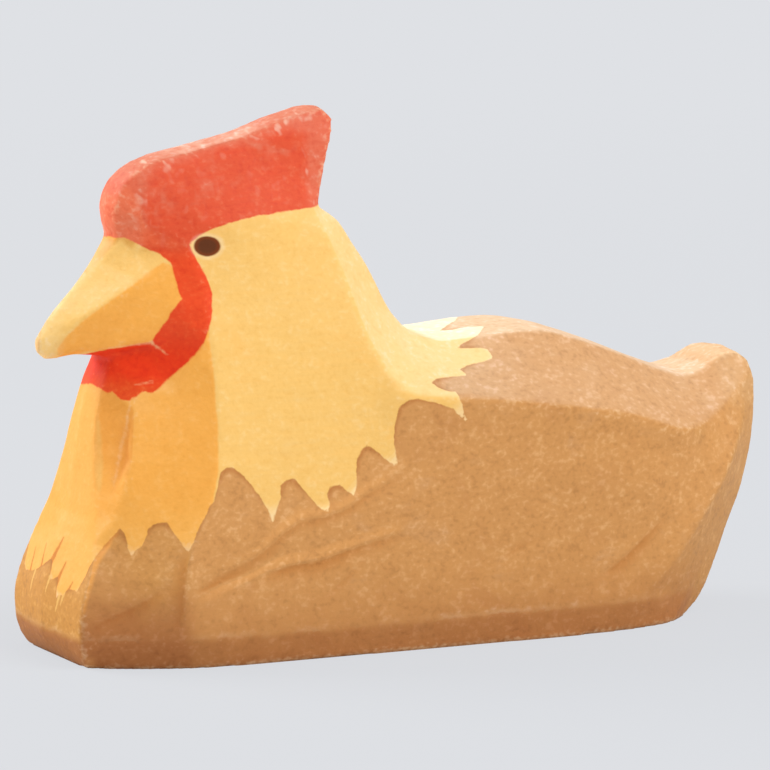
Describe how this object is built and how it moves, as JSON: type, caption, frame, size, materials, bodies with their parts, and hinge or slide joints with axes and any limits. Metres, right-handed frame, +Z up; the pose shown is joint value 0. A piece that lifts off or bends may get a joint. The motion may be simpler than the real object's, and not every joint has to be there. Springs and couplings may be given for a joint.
{
  "type": "hen figurine",
  "caption": "Small sitting hen carved from one piece of board, with a tall comb, a pointed beak, a raised tail and a flat base.",
  "frame": {"origin": "middle of the figure's length and width, on its flat base", "axes": "+X from beak to tail, +Y to the hen's right side, +Z up"},
  "size_m": [0.0728, 0.025, 0.0497],
  "materials": {
    "stained_wood": "matte, oiled and stained with thin colour"
  },
  "bodies": {
    "root": {"hen": "stained_wood"}
  },
  "joints": []
}
